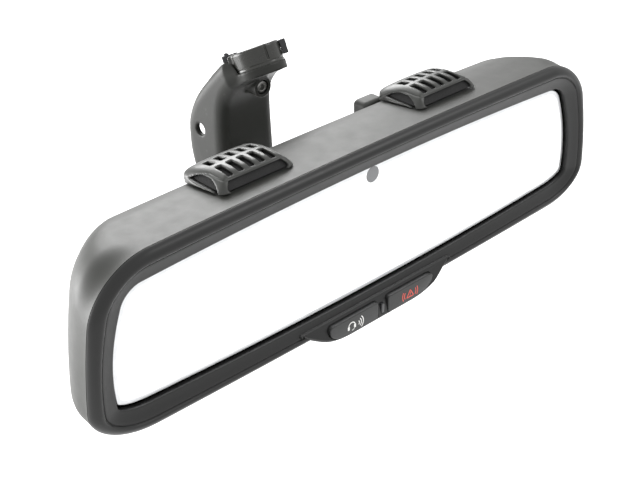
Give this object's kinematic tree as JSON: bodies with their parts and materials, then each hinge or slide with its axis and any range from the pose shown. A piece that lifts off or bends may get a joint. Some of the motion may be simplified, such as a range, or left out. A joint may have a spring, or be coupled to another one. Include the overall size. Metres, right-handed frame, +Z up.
{
  "type": "interior rearview mirror",
  "caption": "Self-dimming interior rearview mirror on a ball joint, with chin buttons, microphone covers and a windscreen arm.",
  "frame": {"origin": "middle of the flat seat inside the windscreen collar", "axes": "+X along the mirror to the right as the driver sees it, +Y from the driver towards the windscreen, +Z up"},
  "size_m": [0.2664, 0.1019, 0.0987],
  "materials": {
    "bezel_plastic": "satin moulded plastic",
    "housing_plastic": "fine grained plastic",
    "mirror_glass": "polished mirror",
    "seal": "matte",
    "foam": "open foam",
    "inner_plastic": "matte",
    "board": "solder mask",
    "chip": "moulded",
    "sensor_lens": "clear smoked",
    "button_plastic": "satin, with printed marks",
    "steel": "bright",
    "dark_steel": "black oxide",
    "contact_brass": "tinned",
    "liner_nylon": "waxy",
    "cast_metal": "black paint on a casting"
  },
  "bodies": {
    "mount_arm": {"arm": "cast_metal", "mount_collar": "cast_metal", "retaining_clip": "dark_steel", "set_screw": "dark_steel", "ball_stud": "steel", "stud_nut": "steel"},
    "pan_ring": {"ball_liner": "liner_nylon"},
    "tilt_ring": {"pressure_cup": "liner_nylon", "disc_spring": "steel"},
    "left_button_cap": {"left_button": "button_plastic"},
    "right_button_cap": {"right_button": "button_plastic"},
    "mirror_head": {"bezel": "bezel_plastic", "rear_housing": "housing_plastic", "front_glass": "mirror_glass", "edge_seal": "seal", "rear_glass": "mirror_glass", "foam_tape": "foam", "carrier_plate": "inner_plastic", "socket_housing": "inner_plastic", "circuit_board": "board", "control_chip": "chip", "glare_sensor": "sensor_lens", "ambient_sensor": "chip", "ambient_lens": "sensor_lens", "light_pipe": "sensor_lens", "button_board": "board", "left_switch": "steel", "right_switch": "steel", "indicator_led": "liner_nylon", "mic_cover_left": "housing_plastic", "mic_cover_right": "housing_plastic", "mic_boot_left": "foam", "mic_boot_right": "foam", "mic_capsule_left": "steel", "mic_capsule_right": "steel", "connector_shroud": "inner_plastic", "hub_screw_1": "steel", "hub_screw_2": "steel", "hub_screw_3": "steel", "housing_screw_1": "dark_steel", "connector_pin_1": "contact_brass", "housing_screw_2": "dark_steel", "connector_pin_2": "contact_brass", "housing_screw_3": "dark_steel", "connector_pin_3": "contact_brass", "housing_screw_4": "dark_steel", "connector_pin_4": "contact_brass"}
  },
  "joints": [
    {"name": "pan", "type": "hinge", "parent": "mount_arm", "child": "pan_ring", "pos_m": [0, -0.02185, -0.04947], "axis": [0, 0, 1], "range_deg": [-20, 20]},
    {"name": "tilt", "type": "hinge", "parent": "pan_ring", "child": "tilt_ring", "pos_m": [0, -0.02185, -0.04947], "axis": [1, 0, 0], "range_deg": [-15, 15]},
    {"name": "roll", "type": "hinge", "parent": "tilt_ring", "child": "mirror_head", "pos_m": [0, -0.02185, -0.04947], "axis": [0, 1, 0], "range_deg": [-12, 12]},
    {"name": "left_press", "type": "slide", "parent": "mirror_head", "child": "left_button_cap", "axis": [0, 1, 0], "range_m": [0, 0.0007], "stiffness_N_per_m": 1500, "springref_m": -0.0004},
    {"name": "right_press", "type": "slide", "parent": "mirror_head", "child": "right_button_cap", "axis": [0, 1, 0], "range_m": [0, 0.0007], "stiffness_N_per_m": 1500, "springref_m": -0.0004}
  ]
}
